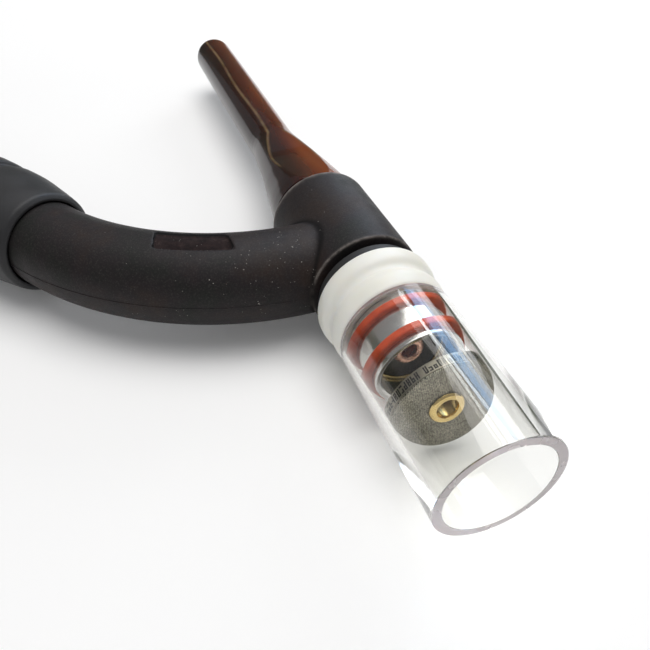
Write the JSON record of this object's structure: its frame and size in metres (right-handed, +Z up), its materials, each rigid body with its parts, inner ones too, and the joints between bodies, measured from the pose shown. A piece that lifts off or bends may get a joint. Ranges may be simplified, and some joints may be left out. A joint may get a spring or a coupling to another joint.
{
  "type": "tig torch",
  "caption": "Gas-cooled TIG welding torch: bent rubber neck and head, long back cap, white insulator, O-ring adapter and clear glass cup with a mesh diffuser.",
  "frame": {"origin": "on the bench under the middle of the torch's footprint, with the torch lying flat on its side", "axes": "+X along the head axis towards the cup's mouth, the neck and handle bend away towards -Y and -X, +Z up from the bench"},
  "size_m": [0.19, 0.1436, 0.025],
  "materials": {
    "clear_glass": "clear polished borosilicate, fire-polished edges",
    "steel_mesh": "fine woven stainless mesh, olive grey",
    "etched_steel": "dull steel band with etched ticks",
    "brass": "turned brass, lightly polished",
    "polished_steel": "turned and polished",
    "silicone_red": "orange-red silicone, slight sheen",
    "copper": "turned copper alloy",
    "white_insulator": "white fluoropolymer, satin",
    "gasket_rubber": "dark grey rubber",
    "moulded_rubber": "black moulded rubber, matt with fine grain",
    "brown_phenolic": "dark red-brown glossy phenolic",
    "seal_rubber": "black nitrile",
    "handle_plastic": "black moulded grip",
    "bush_rubber": "black rubber bush"
  },
  "bodies": {
    "torch": {"rubber_body": "moulded_rubber", "torch_body": "brass", "neck_tube": "copper", "cable_fitting": "brass", "front_gasket": "gasket_rubber"},
    "insulator": {"insulator": "white_insulator"},
    "gas_lens": {"lens_body": "brass", "lens_nose": "copper", "lens_screen_front": "steel_mesh", "lens_screen_rear": "steel_mesh", "lens_retainer": "brass", "cup_adapter": "polished_steel", "cup_o_ring_front": "silicone_red", "cup_o_ring_rear": "silicone_red"},
    "cup": {"glass_cup": "clear_glass"},
    "diffuser": {"diffuser_screen_front": "steel_mesh", "diffuser_screen_rear": "steel_mesh", "diffuser_skirt": "etched_steel", "diffuser_eyelet": "brass"},
    "collet": {"collet": "copper"},
    "cap_seal": {"back_cap_o_ring": "seal_rubber"},
    "back_cap": {"back_cap": "brown_phenolic"},
    "handle": {"handle": "handle_plastic", "cable_bush": "bush_rubber"}
  },
  "joints": [
    {"name": "lens_travel", "type": "slide", "parent": "torch", "child": "insulator", "axis": [1, 0, 0], "range_m": [0, 0.0064]},
    {"name": "lens_turn", "type": "hinge", "parent": "insulator", "child": "gas_lens", "pos_m": [0.05, 0.0598, 0.0125], "axis": [1, 0, 0], "range_deg": [0, 1800]},
    {"name": "cup_pull", "type": "slide", "parent": "gas_lens", "child": "cup", "axis": [1, 0, 0], "range_m": [0, 0.014]},
    {"name": "diffuser_push", "type": "slide", "parent": "cup", "child": "diffuser", "axis": [1, 0, 0], "range_m": [-0.004, 0.014]},
    {"name": "back_cap_travel", "type": "slide", "parent": "torch", "child": "cap_seal", "axis": [-1, 0, 0], "range_m": [0, 0.0064]},
    {"name": "back_cap_turn", "type": "hinge", "parent": "cap_seal", "child": "back_cap", "pos_m": [0.02, 0.0598, 0.0125], "axis": [-1, 0, 0], "range_deg": [0, 1800]},
    {"name": "collet_travel", "type": "slide", "parent": "torch", "child": "collet", "axis": [-1, 0, 0], "range_m": [0, 0.0064]},
    {"name": "handle_slide", "type": "slide", "parent": "torch", "child": "handle", "axis": [-0.829, -0.5592, 0], "range_m": [0, 0.04]}
  ],
  "couplings": [
    {"joint": "lens_travel", "follows": "lens_turn", "m_per_rad": 0.00020213},
    {"joint": "back_cap_travel", "follows": "back_cap_turn", "m_per_rad": 0.00020213},
    {"joint": "collet_travel", "follows": "back_cap_turn", "m_per_rad": 0.00020213}
  ]
}
